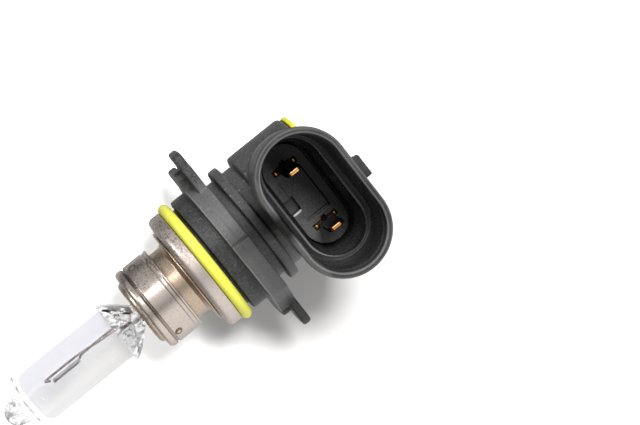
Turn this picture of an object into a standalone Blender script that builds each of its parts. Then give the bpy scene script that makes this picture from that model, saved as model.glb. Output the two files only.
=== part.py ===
"""A right-angle, two-pin halogen headlight bulb, as separate named pieces.

The bulb's axis is X: the glass tip is at -X and the closed end of the base at +X.
The origin is on that axis, in the front face of the base's locating flange.
The connector socket opens towards +Z. All lengths are in metres.
"""

import math

import bmesh
import bpy
from mathutils import Vector

MM = 0.001

# Shared fits and resolution
GAP = 0.1 * MM
MERGE = 0.005 * MM
ROUND_STEPS = 40
ARC_STEPS = 2
OBJECT_NAME = "headlight_bulb"

# Glass capsule: a quartz tube with a wall, a flat end, a sealed-off nub and a pinched foot
TUBE_RADIUS = 5.35 * MM
TUBE_WALL = 1.0 * MM
TUBE_FRONT = -39.4 * MM
TUBE_CORNER = 1.3 * MM
NUB_FRONT = -43.4 * MM
NUB_RADIUS = 2.1 * MM
NUB_BASE_RADIUS = 2.6 * MM
WEDGE_START = -21.3 * MM
WEDGE_END = -17.5 * MM
CAVITY_END = -18.8 * MM
PINCH_HALF = 1.35 * MM
PINCH_RADIUS = 5.05 * MM
PINCH_REAR = -9.0 * MM

# Filament and its wires
FILAMENT_CENTRE = -31.5 * MM
FILAMENT_LENGTH = 5.1 * MM
FILAMENT_TURNS = 15
FILAMENT_SIDE = 0.3 * MM
COIL_RADIUS = 0.5 * MM
COIL_WIRE = 0.09 * MM
LEAD_WIRE = 0.2 * MM
LEAD_SPREAD = 1.9 * MM
FOIL_FRONT = -15.5 * MM
FOIL_REAR = -11.0 * MM
FOIL_WIDTH = 1.7 * MM
FOIL_THICKNESS = 0.12 * MM
CHANNEL_HALF = 0.28 * MM

# Metal parts around the pinch
SHEET = 0.35 * MM
HOLDER_RADIUS = 5.75 * MM
HOLDER_FRONT = -17.3 * MM
HOLDER_REAR = -8.1 * MM
COLLAR_RADIUS = 7.26 * MM
COLLAR_FRONT = -16.6 * MM
COLLAR_REAR = -10.4 * MM
SLEEVE_RADIUS = 6.22 * MM
SLEEVE_FRONT = -11.6 * MM
SLEEVE_LIP_RADIUS = 8.4 * MM
DISC_RADIUS = 10.47 * MM
DISC_FRONT = -7.55 * MM
DISC_REAR = -5.1 * MM
WELD_RADIUS = 0.65 * MM

# O-ring and the plastic boss that carries it
RING_OUTER = 11.15 * MM
RING_SECTION = 0.9 * MM
RING_STATION = -4.15 * MM
GROOVE_RADIUS = 9.25 * MM
BOSS_RADIUS = 10.5 * MM
BOSS_FRONT = -2.7 * MM

# Locating flange: two layers, each a round hub with a flat on top and three lugs
LAYER = 1.55 * MM
HUB_RADIUS = 12.0 * MM
HUB_FLAT_START = 1.2 * MM
HUB_FLAT_END = -8.7 * MM
HUB_SLOPE_END = -12.8 * MM
HUB_SLOPE_LOW = 5.6 * MM
REAR_LUG_REACH = 16.9 * MM
FRONT_LUG_REACH = 14.2 * MM

# Neck, rib and rear body
NECK_RADIUS = 9.08 * MM
RIB_RADIUS = 10.5 * MM
RIB_FRONT = 4.7 * MM
RIB_REAR = 6.3 * MM
BODY_RADIUS = 10.35 * MM
BODY_FRONT = 8.4 * MM
BODY_REAR = 18.9 * MM
BORE_RADIUS = 5.2 * MM
CHAMBER_RADIUS = 6.6 * MM
CHAMBER_FRONT = 9.5 * MM
PLUG_RADIUS = 9.95 * MM
PLUG_PROUD = 0.9 * MM

# Connector shroud, a stadium with its long side along Y
SHROUD_X = 14.1 * MM
RIM_HALF_X = 7.3 * MM
RIM_HALF_Y = 12.3 * MM
RIM_TOP = 24.4 * MM
RIM_DEPTH = 1.7 * MM
RIM_STEP = 0.35 * MM
SHROUD_TAPER = 0.7 * MM
MOUTH_TAPER = 0.4 * MM
MOUTH_HALF_X = 6.15 * MM
MOUTH_HALF_Y = 11.1 * MM
LEDGE_HEIGHT = 15.8 * MM
WELL_HALF_X = 4.7 * MM
WELL_HALF_Y = 10.0 * MM
WELL_FLOOR = 7.0 * MM

# Terminal insert and blades
INSERT_HALF_X = 3.65 * MM
INSERT_HALF_Y = 8.85 * MM
INSERT_BOTTOM = 5.0 * MM
INSERT_TOP = 8.5 * MM
BLADE_PITCH = 10.48 * MM
BLADE_WIDTH = 2.8 * MM
BLADE_THICKNESS = 0.8 * MM
BLADE_TIP = 17.6 * MM
BLADE_TIP_WIDTH = 1.65 * MM
SHOULDER_WIDTH = 4.1 * MM
SHOULDER_TOP = 8.8 * MM
TAIL_WIDTH = 2.0 * MM
TAIL_BOTTOM = 0.8 * MM
CRIMP_HEIGHT = 1.5 * MM

# Looks: colour, roughness, metallic, transmission
LOOKS = {
    "quartz": ((0.95, 0.97, 1.0), 0.02, 0.0, 1.0),
    "tungsten": ((0.35, 0.35, 0.36), 0.35, 1.0, 0.0),
    "molybdenum": ((0.52, 0.50, 0.49), 0.3, 1.0, 0.0),
    "nickel": ((0.74, 0.69, 0.65), 0.28, 1.0, 0.0),
    "steel": ((0.60, 0.58, 0.55), 0.35, 1.0, 0.0),
    "yellow_silicone": ((0.95, 0.93, 0.05), 0.45, 0.0, 0.0),
    "black_plastic": ((0.03, 0.03, 0.032), 0.5, 0.0, 0.0),
    "copper_alloy": ((0.83, 0.52, 0.26), 0.25, 1.0, 0.0),
}


# ---------------------------------------------------------------- tools

def clear_scene():
    for item in list(bpy.data.objects):
        bpy.data.objects.remove(item, do_unlink=True)


def new_collection(name):
    group = bpy.data.collections.new(name)
    bpy.context.scene.collection.children.link(group)
    return group


def make_looks():
    for name, (colour, roughness, metallic, transmission) in LOOKS.items():
        look = bpy.data.materials.new(name)
        look.use_nodes = True
        shader = look.node_tree.nodes["Principled BSDF"]
        shader.inputs["Base Color"].default_value = (*colour, 1.0)
        shader.inputs["Roughness"].default_value = roughness
        shader.inputs["Metallic"].default_value = metallic
        shader.inputs["Transmission Weight"].default_value = transmission


def add(name, data, look=None):
    """Put new data in the scene: a named piece with its look, or a cutter when there is no look."""
    item = bpy.data.objects.new(name, data)
    if look is None:
        TOOLS.objects.link(item)
        item.hide_render = True
        item.display_type = "WIRE"
    else:
        PARTS.objects.link(item)
        data.materials.append(bpy.data.materials[look])
    return item


def adopt(item, name, look):
    """Move a primitive that an operator made into the parts, with its name and look."""
    item.name = name
    item.data.materials.append(bpy.data.materials[look])
    for group in list(item.users_collection):
        group.objects.unlink(item)
    PARTS.objects.link(item)
    item.data.shade_smooth()
    item.data.set_sharp_from_angle(angle=math.radians(40))
    return item


def fillet(corners, closed=True, steps=ARC_STEPS):
    """Points of a flat outline from its corners (a, b, radius), with an arc in each round corner."""
    points = []
    count = len(corners)
    for index, (a, b, radius) in enumerate(corners):
        corner = Vector((a, b))
        at_end = not closed and index in (0, count - 1)
        if radius == 0 or at_end:
            points.append(corner)
            continue
        before = (Vector(corners[index - 1][:2]) - corner).normalized()
        after = (Vector(corners[(index + 1) % count][:2]) - corner).normalized()
        half = before.angle(after) / 2
        centre = corner + (before + after).normalized() * (radius / math.sin(half))
        start = corner + before * (radius / math.tan(half)) - centre
        end = corner + after * (radius / math.tan(half)) - centre
        for step in range(steps + 1):
            points.append(centre + start.lerp(end, step / steps).normalized() * radius)
    return points


def turned(name, corners, look=None, closed=True, steps=ROUND_STEPS):
    """Turn an outline of (station, radius, corner radius) about the bulb's axis.

    The outline runs along its outer side from the glass end to the base end, and a
    closed one comes back along its inner side.
    """
    points = [(radius, 0, -station) for station, radius in fillet(corners, closed)]
    edges = [(index, index + 1) for index in range(len(points) - 1)]
    if closed:
        edges.append((len(points) - 1, 0))
    mesh = bpy.data.meshes.new(name)
    mesh.from_pydata(points, edges, [])
    item = add(name, mesh, look)
    item.rotation_euler = (0, -math.pi / 2, 0)
    screw = item.modifiers.new("turn", "SCREW")
    screw.axis = "Z"
    screw.angle = 2 * math.pi
    screw.steps = steps
    screw.render_steps = steps
    screw.use_merge_vertices = True
    screw.merge_threshold = MERGE
    screw.use_smooth_shade = True
    return item


def flat_solid(name, outline, thickness, location, rotation, look=None):
    """A flat outline, drawn in its own XY plane and given a thickness, as a mesh."""
    curve = bpy.data.curves.new(name + "_outline", "CURVE")
    curve.dimensions = "2D"
    curve.fill_mode = "BOTH"
    curve.extrude = thickness / 2
    spline = curve.splines.new("POLY")
    spline.points.add(len(outline) - 1)
    for point, (a, b) in zip(spline.points, outline):
        point.co = (a, b, 0, 1)
    spline.use_cyclic_u = True
    drawn = bpy.data.objects.new(name + "_outline", curve)
    TOOLS.objects.link(drawn)
    drawn.location = location
    drawn.rotation_euler = rotation
    bpy.context.view_layer.update()
    graph = bpy.context.evaluated_depsgraph_get()
    mesh = bpy.data.meshes.new_from_object(drawn.evaluated_get(graph))
    mesh.name = name
    weld_and_face_out(mesh)
    item = add(name, mesh, look)
    item.matrix_world = drawn.matrix_world.copy()
    bpy.data.objects.remove(drawn, do_unlink=True)
    return item


def weld_and_face_out(mesh):
    work = bmesh.new()
    work.from_mesh(mesh)
    bmesh.ops.remove_doubles(work, verts=work.verts, dist=MERGE)
    bmesh.ops.recalc_face_normals(work, faces=work.faces)
    work.to_mesh(mesh)
    work.free()


def lofted(name, rings, look=None):
    """A closed solid through rings that all have the same number of points."""
    work = bmesh.new()
    loops = [[work.verts.new(point) for point in ring] for ring in rings]
    count = len(rings[0])
    for low, high in zip(loops, loops[1:]):
        for index in range(count):
            after = (index + 1) % count
            work.faces.new((low[index], low[after], high[after], high[index]))
    work.faces.new(loops[0])
    work.faces.new(loops[-1])
    bmesh.ops.recalc_face_normals(work, faces=work.faces)
    mesh = bpy.data.meshes.new(name)
    work.to_mesh(mesh)
    work.free()
    item = add(name, mesh, look)
    mesh.shade_smooth()
    mesh.set_sharp_from_angle(angle=math.radians(35))
    return item


def wire(name, points, radius, look):
    """A round wire along the points, with closed ends."""
    curve = bpy.data.curves.new(name, "CURVE")
    curve.dimensions = "3D"
    curve.bevel_depth = radius
    curve.bevel_resolution = 2
    curve.use_fill_caps = True
    spline = curve.splines.new("POLY")
    spline.points.add(len(points) - 1)
    for point, place in zip(spline.points, points):
        point.co = (*place, 1)
    return add(name, curve, look)


def smooth_route(stops, per_span=3):
    """Points along a smooth curve through the stops."""
    stops = [Vector(stop) for stop in stops]
    padded = [2 * stops[0] - stops[1], *stops, 2 * stops[-1] - stops[-2]]
    points = []
    for a, b, c, d in zip(padded, padded[1:], padded[2:], padded[3:]):
        for step in range(per_span):
            t = step / per_span
            points.append(0.5 * (2 * b + (c - a) * t + (2 * a - 5 * b + 4 * c - d) * t ** 2
                                 + (3 * b - a - 3 * c + d) * t ** 3))
    points.append(stops[-1])
    return points


def block(name, low, high):
    """A box cutter between two corners."""
    work = bmesh.new()
    bmesh.ops.create_cube(work, size=1)
    for corner in work.verts:
        corner.co = [low[axis] + (corner.co[axis] + 0.5) * (high[axis] - low[axis])
                     for axis in range(3)]
    mesh = bpy.data.meshes.new(name)
    work.to_mesh(mesh)
    work.free()
    return add(name, mesh)


def combine(item, other, operation):
    modifier = item.modifiers.new(other.name, "BOOLEAN")
    modifier.operation = operation
    modifier.object = other


def stadium(centre_x, half_x, half_y, height, steps=9):
    """A level ring with two straight sides along Y and two half-round ends."""
    ring = []
    for side in (1, -1):
        for step in range(steps + 1):
            angle = math.pi * (step / steps) + (0 if side > 0 else math.pi)
            ring.append((centre_x + half_x * math.cos(angle),
                         side * (half_y - half_x) + half_x * math.sin(angle), height))
    return ring


def stadium_solid(name, centre_x, sections):
    """A cutter with stadium sections (half_x, half_y, height)."""
    return lofted(name, [stadium(centre_x, *section) for section in sections])


# ---------------------------------------------------------------- glass capsule

def pinched_ring(station, radius, half_thickness, count=36):
    """A circle cut off flat at both sides, across the bulb's axis."""
    ring = []
    for index in range(count):
        angle = 2 * math.pi * (index + 0.5) / count
        across = max(-half_thickness, min(half_thickness, radius * math.cos(angle)))
        ring.append((station, across, radius * math.sin(angle)))
    return ring


def blend(start, end, part):
    return start + (end - start) * part


def glass_outside():
    """Sections from the tip of the nub to the end of the pinch, as (station, radius, half thickness)."""
    sections = []
    for angle in (75, 45, 15):
        bend = math.radians(angle)
        sections.append((NUB_FRONT + NUB_RADIUS * (1 - math.sin(bend)), NUB_RADIUS * math.cos(bend)))
    sections.append((TUBE_FRONT - 1.3 * MM, NUB_RADIUS * 1.05))
    sections.append((TUBE_FRONT - 0.6 * MM, blend(NUB_RADIUS, NUB_BASE_RADIUS, 0.4)))
    sections.append((TUBE_FRONT - 0.1 * MM, NUB_BASE_RADIUS))
    for angle in (90, 67, 45, 22, 0):
        bend = math.radians(angle)
        sections.append((TUBE_FRONT + TUBE_CORNER * (1 - math.sin(bend)),
                         TUBE_RADIUS - TUBE_CORNER * (1 - math.cos(bend))))
    rings = [(station, radius, TUBE_RADIUS) for station, radius in sections]
    steps = 5
    for step in range(steps + 1):
        part = step / steps
        rings.append((blend(WEDGE_START, WEDGE_END, part), blend(TUBE_RADIUS, PINCH_RADIUS, part),
                      blend(TUBE_RADIUS, PINCH_HALF, part)))
    rings.append((PINCH_REAR, PINCH_RADIUS, PINCH_HALF))
    return [pinched_ring(*ring) for ring in rings]


def glass_cavity():
    radius = TUBE_RADIUS - TUBE_WALL
    front = TUBE_FRONT + TUBE_WALL
    rings = []
    for angle in (90, 60, 30, 0):
        bend = math.radians(angle)
        rings.append((front + TUBE_CORNER * (1 - math.sin(bend)),
                      radius - TUBE_CORNER * (1 - math.cos(bend)), radius))
    steps = 4
    for step in range(steps + 1):
        part = step / steps
        rings.append((blend(WEDGE_START - 0.3 * MM, CAVITY_END, part), radius,
                      blend(radius, 0.35 * MM, part)))
    return [pinched_ring(*ring) for ring in rings]


def make_glass():
    glass = lofted("glass_envelope", glass_outside(), "quartz")
    combine(glass, lofted("cut_cavity", glass_cavity()), "DIFFERENCE")
    half_width = FOIL_WIDTH / 2 + GAP
    for side, label in ((1, "upper"), (-1, "lower")):
        middle = side * LEAD_SPREAD
        channel = block("cut_channel_" + label,
                        (CAVITY_END - 0.9 * MM, -CHANNEL_HALF, middle - half_width),
                        (PINCH_REAR + 1 * MM, CHANNEL_HALF, middle + half_width))
        combine(glass, channel, "DIFFERENCE")


# ---------------------------------------------------------------- filament and leads

def make_filament():
    start = FILAMENT_CENTRE - FILAMENT_LENGTH / 2
    per_turn = 9
    total = FILAMENT_TURNS * per_turn
    points = []
    for step in range(total + 1):
        angle = 2 * math.pi * step / per_turn
        points.append((start + FILAMENT_LENGTH * step / total,
                       FILAMENT_SIDE + COIL_RADIUS * math.cos(angle),
                       COIL_RADIUS * math.sin(angle)))
    wire("filament_coil", points, COIL_WIRE, "tungsten")


def make_inner_leads():
    filament_front = FILAMENT_CENTRE - FILAMENT_LENGTH / 2
    filament_rear = FILAMENT_CENTRE + FILAMENT_LENGTH / 2
    foil_end = FOIL_FRONT - GAP - LEAD_WIRE
    beside = 0.95 * MM
    under = -1.0 * MM
    long_stops = [
        (foil_end, 0, -LEAD_SPREAD),
        (CAVITY_END, 0, -LEAD_SPREAD),
        (CAVITY_END - 2 * MM, 0.15 * MM, -LEAD_SPREAD),
        (CAVITY_END - 6 * MM, 0.45 * MM, 1.4 * under),
        (filament_rear + 0.2 * MM, beside, under),
        (filament_front - 0.5 * MM, beside, under),
        (filament_front - 0.9 * MM, 0.8 * MM, -0.6 * MM),
        (filament_front - 0.5 * MM, 0.6 * MM, -0.2 * MM),
    ]
    above = 1.2 * MM
    short_stops = [
        (foil_end, 0, LEAD_SPREAD),
        (CAVITY_END, 0, LEAD_SPREAD),
        (CAVITY_END - 1.6 * MM, 0.3 * MM, LEAD_SPREAD),
        (CAVITY_END - 2.8 * MM, 1.05 * MM, above),
        (CAVITY_END - 7 * MM, 1.1 * MM, above),
        (filament_rear + 0.8 * MM, 0.95 * MM, 0.9 * MM),
        (filament_rear + 0.45 * MM, 0.5 * MM, 0.2 * MM),
    ]
    wire("support_wire_long", smooth_route(long_stops), LEAD_WIRE, "molybdenum")
    wire("support_wire_short", smooth_route(short_stops), LEAD_WIRE, "molybdenum")


def make_foils():
    outline = [(FOIL_FRONT, -FOIL_WIDTH / 2), (FOIL_REAR, -FOIL_WIDTH / 2),
               (FOIL_REAR, FOIL_WIDTH / 2), (FOIL_FRONT, FOIL_WIDTH / 2)]
    for side, label in ((1, "upper"), (-1, "lower")):
        flat_solid("seal_foil_" + label, outline, FOIL_THICKNESS,
                   (0, 0, side * LEAD_SPREAD), (math.pi / 2, 0, 0), "molybdenum")


def make_outer_leads():
    start = FOIL_REAR + GAP + LEAD_WIRE
    terminal = BLADE_PITCH / 2
    crimp = SHROUD_X - TAIL_WIDTH / 2 - 0.4 * MM
    for side, label in ((1, "left"), (-1, "right")):
        stops = [
            (start, 0, side * LEAD_SPREAD),
            (PINCH_REAR, 0, side * LEAD_SPREAD),
            (-3 * MM, side * 0.5 * MM, side * 2.0 * MM),
            (4 * MM, side * 2.4 * MM, side * 1.6 * MM),
            (8 * MM, side * 3.9 * MM, 1.2 * MM),
            (crimp - 1.9 * MM, side * terminal, CRIMP_HEIGHT),
            (crimp, side * terminal, CRIMP_HEIGHT),
        ]
        wire("outer_lead_" + label, smooth_route(stops), LEAD_WIRE, "molybdenum")


# ---------------------------------------------------------------- metal holder

def make_capsule_holder():
    """A thin cup whose slotted front face guides the pinch."""
    inner = HOLDER_RADIUS - SHEET
    holder = turned("capsule_holder", [
        (HOLDER_FRONT, 0, 0),
        (HOLDER_FRONT, HOLDER_RADIUS, 0.8 * MM),
        (HOLDER_REAR, HOLDER_RADIUS, 0),
        (HOLDER_REAR, inner, 0),
        (HOLDER_FRONT + SHEET, inner, 0.45 * MM),
        (HOLDER_FRONT + SHEET, 0, 0),
    ], "steel", closed=False)
    slot_half = PINCH_HALF + 2 * GAP
    slot = block("cut_holder_slot", (HOLDER_FRONT - 1 * MM, -slot_half, -PINCH_RADIUS - GAP),
                 (HOLDER_FRONT + 2 * SHEET, slot_half, PINCH_RADIUS + GAP))
    combine(holder, slot, "DIFFERENCE")


def make_pinch_clips():
    """Two bowed leaf springs that centre the pinch in its holder."""
    front = HOLDER_FRONT + 0.8 * MM
    rear = HOLDER_REAR - 0.6 * MM
    middle = (front + rear) / 2
    thickness = 0.3 * MM
    nearest = PINCH_HALF + GAP
    bow = 2.7 * MM
    steps = 10
    under = []
    for step in range(steps + 1):
        station = blend(front, rear, step / steps)
        under.append((station, nearest + bow * ((station - middle) / (rear - middle)) ** 2))
    over = [(station, height + thickness) for station, height in reversed(under)]
    for side, label in ((1, "left"), (-1, "right")):
        outline = [(station, side * height) for station, height in under + over]
        flat_solid("pinch_clip_" + label, outline, 4.4 * MM, (0, 0, 0), (0, 0, 0), "steel")


def make_focus_collar():
    """The outer cup that is slid and turned to focus the filament, then welded."""
    inner = COLLAR_RADIUS - 0.4 * MM
    groove = 0.14 * MM
    bead_end = -15.1 * MM
    turned("focus_collar", [
        (COLLAR_FRONT, HOLDER_RADIUS + 0.2 * MM, 0),
        (COLLAR_FRONT, COLLAR_RADIUS, 0.7 * MM),
        (bead_end - 0.1 * MM, COLLAR_RADIUS, 0),
        (bead_end, COLLAR_RADIUS - groove, 0),
        (bead_end + 0.15 * MM, COLLAR_RADIUS, 0),
        (COLLAR_REAR - 1.1 * MM, COLLAR_RADIUS, 0),
        (COLLAR_REAR - 0.9 * MM, COLLAR_RADIUS - groove, 0),
        (COLLAR_REAR - 0.5 * MM, COLLAR_RADIUS - groove, 0),
        (COLLAR_REAR - 0.3 * MM, COLLAR_RADIUS, 0),
        (COLLAR_REAR, COLLAR_RADIUS, 0.15 * MM),
        (COLLAR_REAR, SLEEVE_RADIUS + 0.12 * MM, 0),
        (COLLAR_REAR - 0.4 * MM, SLEEVE_RADIUS + 0.12 * MM, 0),
        (COLLAR_REAR - 0.4 * MM, inner, 0),
        (COLLAR_FRONT + 0.4 * MM, inner, 0.3 * MM),
        (COLLAR_FRONT + 0.4 * MM, HOLDER_RADIUS + 0.2 * MM, 0),
    ], "nickel")


def make_flange_sleeve():
    """A tube with a turned-out lip, welded to the flange disc."""
    inner = SLEEVE_RADIUS - SHEET
    lip_rear = DISC_FRONT - GAP
    lip_front = lip_rear - 0.3 * MM
    turned("flange_sleeve", [
        (SLEEVE_FRONT, SLEEVE_RADIUS, 0),
        (lip_front, SLEEVE_RADIUS, 0.25 * MM),
        (lip_front, SLEEVE_LIP_RADIUS, 0.1 * MM),
        (lip_rear, SLEEVE_LIP_RADIUS, 0),
        (lip_rear, inner, 0.3 * MM),
        (SLEEVE_FRONT, inner, 0),
    ], "nickel")


def make_flange_disc():
    """A shallow pressed cap over the front of the plastic base."""
    wall = 0.5 * MM
    hole = 5.5 * MM
    turned("flange_disc", [
        (DISC_FRONT, hole, 0),
        (DISC_FRONT, DISC_RADIUS, 0.8 * MM),
        (DISC_REAR, DISC_RADIUS, 0.2 * MM),
        (DISC_REAR, DISC_RADIUS - wall, 0),
        (DISC_FRONT + wall, DISC_RADIUS - wall, 0.3 * MM),
        (DISC_FRONT + wall, hole, 0),
    ], "nickel")


def make_weld_spots():
    """Small round welds on the collar, about a third of a turn apart."""
    depth = 0.12 * MM
    reach = COLLAR_RADIUS + 0.03 * MM + depth / 2
    spots = (("top", -13.6 * MM, 71.5), ("side", -14.1 * MM, -43.0), ("under", -13.8 * MM, -165.0))
    for label, station, degrees in spots:
        angle = math.radians(degrees)
        place = (station, reach * math.sin(angle), reach * math.cos(angle))
        bpy.ops.mesh.primitive_cylinder_add(vertices=20, radius=WELD_RADIUS, depth=depth,
                                            location=place, rotation=(-angle, 0, 0))
        adopt(bpy.context.object, "weld_spot_" + label, "steel")


# ---------------------------------------------------------------- seal and base

def make_o_ring():
    bpy.ops.mesh.primitive_torus_add(
        major_segments=ROUND_STEPS, minor_segments=12, major_radius=RING_OUTER - RING_SECTION,
        minor_radius=RING_SECTION, location=(RING_STATION, 0, 0), rotation=(0, math.pi / 2, 0))
    adopt(bpy.context.object, "o_ring", "yellow_silicone")


def base_core():
    """The base's round shape, from its front boss to its rear body, without its bore."""
    cap_inner = DISC_RADIUS - 0.6 * MM
    return turned("base_housing", [
        (DISC_FRONT + 0.65 * MM, 0, 0),
        (DISC_FRONT + 0.65 * MM, cap_inner - GAP, 0.3 * MM),
        (DISC_REAR, cap_inner - GAP, 0),
        (DISC_REAR, GROOVE_RADIUS, 0),
        (BOSS_FRONT, GROOVE_RADIUS, 0),
        (BOSS_FRONT, BOSS_RADIUS, 0.2 * MM),
        (0.5 * LAYER, BOSS_RADIUS, 0),
        (0.5 * LAYER, NECK_RADIUS, 0),
        (RIB_FRONT, NECK_RADIUS, 0),
        (RIB_FRONT, RIB_RADIUS, 0.2 * MM),
        (RIB_REAR, RIB_RADIUS, 0.2 * MM),
        (RIB_REAR, NECK_RADIUS, 0),
        (BODY_FRONT, NECK_RADIUS, 0),
        (BODY_FRONT, BODY_RADIUS, 0.5 * MM),
        (BODY_REAR, BODY_RADIUS, 1.0 * MM),
        (BODY_REAR, 0, 0),
    ], "black_plastic", closed=False)


def circle_outline(radius, count=ROUND_STEPS):
    angles = [2 * math.pi * (index + 0.5) / count for index in range(count)]
    return [(radius * math.cos(angle), radius * math.sin(angle)) for angle in angles]


def across_axis(name, outline, front, rear):
    """A plate across the bulb's axis, from an outline of (Y, Z) points."""
    return flat_solid(name, outline, rear - front, ((front + rear) / 2, 0, 0),
                      (math.pi / 2, 0, math.pi / 2))


def flange_plates(label, front, rear, hub, reach, lug_low, lug_high, corner):
    """The pieces of one flange layer: hub, top flat, the two side lugs and the lower lug."""
    flat = [(HUB_SLOPE_END, 0), (HUB_FLAT_START, 0), (HUB_FLAT_START, hub - 0.06 * MM),
            (HUB_FLAT_END, hub - 0.06 * MM), (HUB_SLOPE_END, HUB_SLOPE_LOW)]
    sides = fillet([(-reach, lug_low, corner), (reach, lug_low, corner),
                    (reach, lug_high, corner), (-reach, lug_high, corner)])
    half = 4.0 * MM
    lower = fillet([(-half, -reach, corner), (half, -reach, corner), (half, 0, 0), (-half, 0, 0)])
    inset = 0.02 * MM
    return [
        across_axis("add_hub_" + label, circle_outline(hub), front, rear),
        across_axis("add_flat_" + label, flat, front + inset, rear - inset),
        across_axis("add_sides_" + label, sides, front + 2 * inset, rear - 2 * inset),
        across_axis("add_lower_" + label, lower, front + 3 * inset, rear - 3 * inset),
    ]


def shroud_outside():
    """The connector shroud, from its root in the rear body to its thick rim."""
    wall_x = RIM_HALF_X - RIM_STEP
    wall_y = RIM_HALF_Y - RIM_STEP
    body_x = (BODY_FRONT + BODY_REAR) / 2
    root_x = (BODY_REAR - BODY_FRONT) / 2 - 0.25 * MM
    rim_low = RIM_TOP - RIM_DEPTH
    round_off = 0.2 * MM
    return lofted("add_shroud", [
        stadium(body_x, root_x, 9.2 * MM, 2.0 * MM),
        stadium(body_x, root_x, 9.9 * MM, 6.0 * MM),
        stadium(body_x, root_x, 10.6 * MM, PLUG_RADIUS + 0.2 * MM),
        stadium(SHROUD_X - 0.1 * MM, wall_x - 0.3 * MM, wall_y - 0.3 * MM - SHROUD_TAPER, 12.6 * MM),
        stadium(SHROUD_X, wall_x, wall_y - SHROUD_TAPER, 13.8 * MM),
        stadium(SHROUD_X, wall_x, wall_y, rim_low),
        stadium(SHROUD_X, RIM_HALF_X, RIM_HALF_Y, rim_low + 0.3 * MM),
        stadium(SHROUD_X, RIM_HALF_X, RIM_HALF_Y, RIM_TOP - round_off),
        stadium(SHROUD_X, RIM_HALF_X - round_off, RIM_HALF_Y - round_off, RIM_TOP),
    ])


def latch_tab():
    """The catch on the shroud's rear side that the plug's clip hooks over."""
    root = SHROUD_X + RIM_HALF_X - RIM_STEP - 0.5 * MM
    face = SHROUD_X + RIM_HALF_X + 1.4 * MM
    outline = [(root, 16.2 * MM), (face, 19.2 * MM), (face, 20.8 * MM), (face - 0.2 * MM, 21.0 * MM),
               (root, 21.0 * MM)]
    return flat_solid("add_latch", outline, 3.5 * MM, (0, 0, 0), (math.pi / 2, 0, 0))


def base_cutters():
    """The bore and wire chamber, the stepped socket, the insert's pocket and the tails' window."""
    bore = turned("cut_bore", [
        (DISC_FRONT - 1 * MM, 0, 0),
        (DISC_FRONT - 1 * MM, BORE_RADIUS, 0),
        (CHAMBER_FRONT, BORE_RADIUS, 0),
        (CHAMBER_FRONT, CHAMBER_RADIUS, 0),
        (BODY_REAR + 1 * MM, CHAMBER_RADIUS, 0),
        (BODY_REAR + 1 * MM, 0, 0),
    ], closed=False)
    chamfer = 0.25 * MM
    mouth = stadium_solid("cut_mouth", SHROUD_X, [
        (MOUTH_HALF_X - MOUTH_TAPER, MOUTH_HALF_Y - MOUTH_TAPER, LEDGE_HEIGHT),
        (MOUTH_HALF_X, MOUTH_HALF_Y, RIM_TOP - chamfer),
        (MOUTH_HALF_X + 2 * chamfer, MOUTH_HALF_Y + 2 * chamfer, RIM_TOP + chamfer),
    ])
    low_x = INSERT_HALF_X + 0.3 * MM
    low_y = INSERT_HALF_Y + 0.4 * MM
    well = stadium_solid("cut_well", SHROUD_X + 0.1 * MM, [
        (low_x, low_y, WELL_FLOOR),
        (low_x + GAP, low_y + GAP, LEDGE_HEIGHT - 3.2 * MM),
        (WELL_HALF_X, WELL_HALF_Y, LEDGE_HEIGHT - 1.8 * MM),
        (WELL_HALF_X, WELL_HALF_Y, LEDGE_HEIGHT + 1 * MM),
    ])
    pocket = stadium_solid("cut_pocket", SHROUD_X, [
        (INSERT_HALF_X + GAP, INSERT_HALF_Y + GAP, INSERT_BOTTOM - GAP),
        (INSERT_HALF_X + GAP, INSERT_HALF_Y + GAP, WELL_FLOOR + 1 * MM),
    ])
    window = block("cut_window", (SHROUD_X - 2.6 * MM, -6.3 * MM, 0),
                   (SHROUD_X + 2.6 * MM, 6.3 * MM, INSERT_BOTTOM + 0.5 * MM))
    return [bore, mouth, well, pocket, window]


def make_base_housing():
    base = base_core()
    hub_step = 0.1 * MM
    overlap = 0.05 * MM
    added = flange_plates("front", 0, LAYER + overlap, HUB_RADIUS - hub_step, FRONT_LUG_REACH,
                          -5.0 * MM, 4.0 * MM, 1.4 * MM)
    added += flange_plates("rear", LAYER, 2 * LAYER, HUB_RADIUS, REAR_LUG_REACH,
                           -0.6 * MM, 6.5 * MM, 1.6 * MM)
    added += [shroud_outside(), latch_tab()]
    for piece in added:
        combine(base, piece, "UNION")
    for cutter in base_cutters():
        combine(base, cutter, "DIFFERENCE")


def make_rear_plug():
    """The soft plug that closes the wire chamber, with a flange over the body's rear face."""
    face = BODY_REAR + GAP
    turned("rear_plug", [
        (BODY_REAR - 0.9 * MM, 0, 0),
        (BODY_REAR - 0.9 * MM, CHAMBER_RADIUS - GAP, 0.2 * MM),
        (face, CHAMBER_RADIUS - GAP, 0),
        (face, PLUG_RADIUS, 0.2 * MM),
        (BODY_REAR + PLUG_PROUD, PLUG_RADIUS, 0.35 * MM),
        (BODY_REAR + PLUG_PROUD, 0, 0),
    ], "yellow_silicone", closed=False)


# ---------------------------------------------------------------- connector inside

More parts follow.
